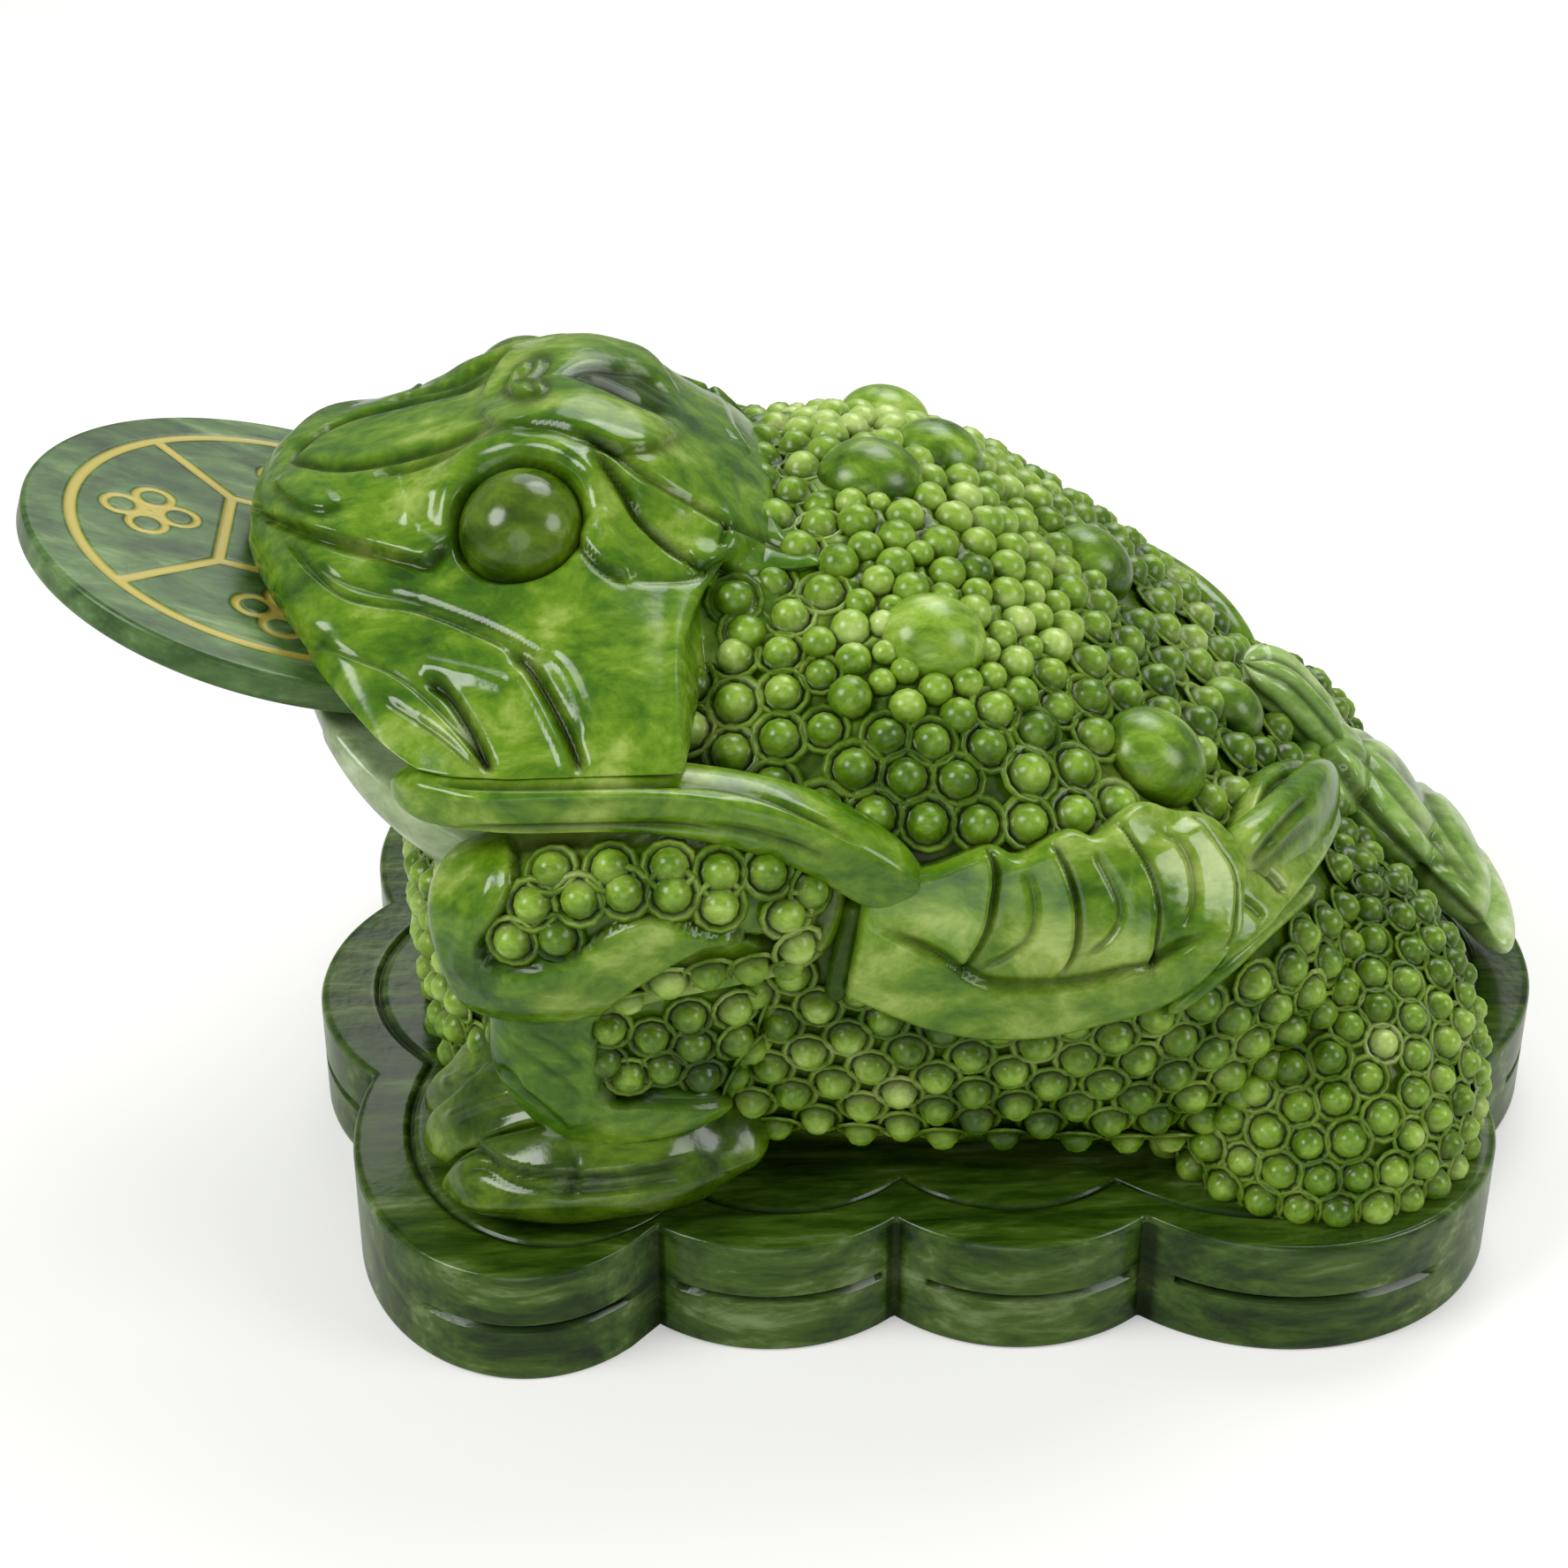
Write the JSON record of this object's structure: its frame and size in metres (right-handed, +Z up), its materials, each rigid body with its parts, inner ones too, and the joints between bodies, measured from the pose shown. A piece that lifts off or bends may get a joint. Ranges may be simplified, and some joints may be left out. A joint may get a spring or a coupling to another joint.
{
  "type": "money toad ornament",
  "caption": "Carved green stone toad seated on a scalloped plinth of overlapping coins, with a loose round coin held tilted between its lips; a free-standing shelf ornament.",
  "frame": {"origin": "middle of the plinth's flat underside", "axes": "+Z up; the toad looks towards -X; its left side faces -Y"},
  "size_m": [0.2376, 0.153, 0.1291],
  "materials": {
    "jade": "polished, mottled mid green",
    "pale_jade": "polished, paler grey-green",
    "dark_jade": "polished, dark green",
    "coin_jade": "honed grey-green with gilt lines"
  },
  "bodies": {
    "toad": {"body": "jade", "head": "jade", "left_brow": "jade", "left_coin_string": "pale_jade", "left_collar": "pale_jade", "left_eye": "dark_jade", "left_eyelid": "jade", "left_forearm": "jade", "left_front_foot": "jade", "left_thigh": "jade", "left_upper_arm": "jade", "lower_jaw": "pale_jade", "plinth": "jade", "right_brow": "jade", "right_coin_string": "pale_jade", "right_collar": "pale_jade", "right_eye": "dark_jade", "right_eyelid": "jade", "right_forearm": "jade", "right_front_foot": "jade", "right_thigh": "jade", "right_upper_arm": "jade", "tail_knot": "pale_jade", "tail_leg": "jade", "wart_1": "dark_jade", "wart_2": "dark_jade", "wart_3": "dark_jade", "wart_4": "dark_jade", "wart_5": "dark_jade", "wart_6": "dark_jade", "wart_7": "dark_jade"},
    "coin": {"coin": "coin_jade"}
  },
  "joints": [
    {"name": "coin_slide", "type": "slide", "parent": "toad", "child": "coin", "axis": [-0.9548, 0, 0.2974], "range_m": [0, 0.055]}
  ]
}
